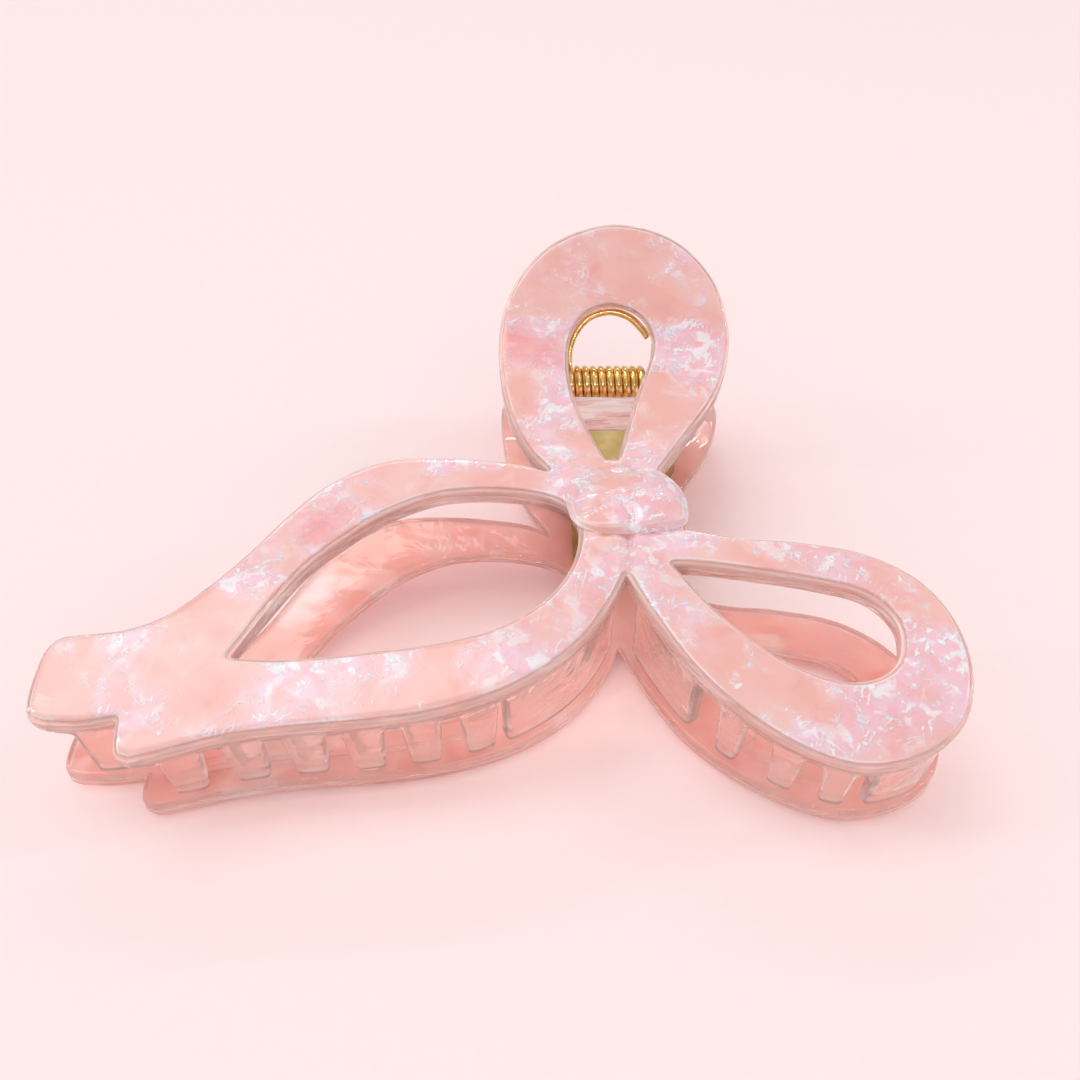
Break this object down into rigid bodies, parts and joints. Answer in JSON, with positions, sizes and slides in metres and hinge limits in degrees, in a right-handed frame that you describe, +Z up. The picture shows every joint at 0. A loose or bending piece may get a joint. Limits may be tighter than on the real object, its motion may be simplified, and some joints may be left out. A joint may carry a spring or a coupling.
{
  "type": "hair claw clip",
  "caption": "Large sprung hair claw clip in the shape of a ribbon bow, in flaked translucent acetate with a brass hinge; it lies closed on its back half.",
  "frame": {"origin": "centre of the bounding box at the level of the surface that the clip lies on", "axes": "+X along the hinge pin, from the ribbon tail towards the closed loop; +Y from the jaws towards the thumb loops; +Z up, from the back half to the front half"},
  "size_m": [0.1104, 0.0911, 0.0353],
  "materials": {
    "clear_acetate": "polished translucent pink acetate",
    "flaked_acetate": "polished milky pink acetate with pearly flakes",
    "brass_sheet": "stamped brass sheet, slightly dull",
    "brass_wire": "bright gold-plated wire and pin"
  },
  "bodies": {
    "back_half": {"back_base": "clear_acetate", "back_face_sheet": "flaked_acetate", "back_knot": "flaked_acetate", "back_tail_comb": "clear_acetate", "back_loop_comb": "clear_acetate", "back_bracket": "brass_sheet", "back_rivets": "brass_wire", "hinge_pin": "brass_wire", "torsion_spring": "brass_wire"},
    "front_half": {"front_base": "clear_acetate", "front_face_sheet": "flaked_acetate", "front_knot": "flaked_acetate", "front_tail_comb": "clear_acetate", "front_loop_comb": "clear_acetate", "front_bracket": "brass_sheet", "front_rivets": "brass_wire"}
  },
  "joints": [
    {"name": "jaw_hinge", "type": "hinge", "parent": "back_half", "child": "front_half", "pos_m": [0.01478, 0.02633, 0.01568], "axis": [-1, 0, 0], "range_deg": [0, 50], "stiffness_Nm_per_rad": 0.12, "springref_deg": -57.3, "deforming": ["torsion_spring"]}
  ]
}
